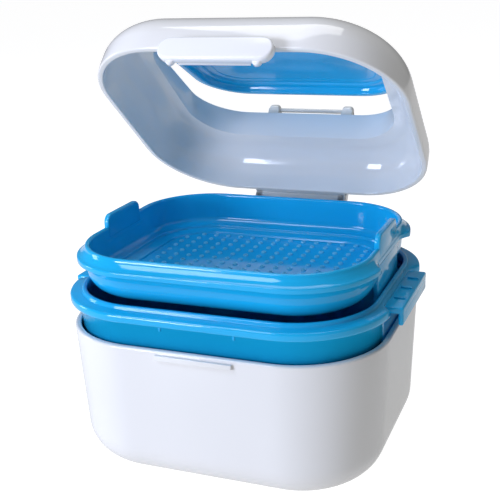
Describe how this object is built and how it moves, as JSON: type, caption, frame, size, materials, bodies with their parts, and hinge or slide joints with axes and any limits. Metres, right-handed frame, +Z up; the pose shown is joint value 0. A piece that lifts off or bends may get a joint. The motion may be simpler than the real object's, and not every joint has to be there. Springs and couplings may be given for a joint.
{
  "type": "denture case",
  "caption": "Rounded box with a hinged framed lid, window cover, snap flap, inner basin and lift-out drain basket.",
  "frame": {"origin": "middle of the flat underside of the base", "axes": "+X to the right along the hinge, +Y from the latch side to the hinge side, +Z up"},
  "size_m": [0.122, 0.1308, 0.152],
  "materials": {
    "white_plastic": "gloss",
    "blue_plastic": "gloss",
    "pin_steel": "satin"
  },
  "bodies": {
    "base": {"base_tub": "white_plastic"},
    "leaf": {"hinge_leaf": "white_plastic", "hinge_pin": "pin_steel"},
    "lid": {"lid_frame": "white_plastic", "latch_pin": "pin_steel"},
    "latch": {"latch_flap": "white_plastic"},
    "cover": {"window_cover": "blue_plastic"},
    "basin": {"basin": "blue_plastic"},
    "strainer": {"strainer": "blue_plastic"}
  },
  "joints": [
    {"name": "lid_lift", "type": "slide", "parent": "base", "child": "leaf", "axis": [0, 0, 1], "range_m": [-0.0236, 0]},
    {"name": "lid_hinge", "type": "hinge", "parent": "leaf", "child": "lid", "pos_m": [0, 0.0544, 0.0661], "axis": [-1, 0, 0], "range_deg": [-41.2, 55]},
    {"name": "latch_turn", "type": "hinge", "parent": "lid", "child": "latch", "pos_m": [0, -0.01919, 0.14554], "axis": [-1, 0, 0], "range_deg": [0, 45]},
    {"name": "cover_turn", "type": "hinge", "parent": "lid", "child": "cover", "pos_m": [0, 0.00609, 0.14955], "axis": [1, 0, 0], "range_deg": [-7.5, 60]},
    {"name": "basin_lift", "type": "slide", "parent": "base", "child": "basin", "axis": [0, 0, 1], "range_m": [-0.00848, 0]},
    {"name": "strainer_lift", "type": "slide", "parent": "basin", "child": "strainer", "axis": [0, 0, 1], "range_m": [-0.00968, 0]}
  ],
  "couplings": [
    {"joint": "basin_lift", "follows": "lid_lift", "ratio": 0.35932},
    {"joint": "strainer_lift", "follows": "lid_lift", "ratio": 0.41017}
  ]
}
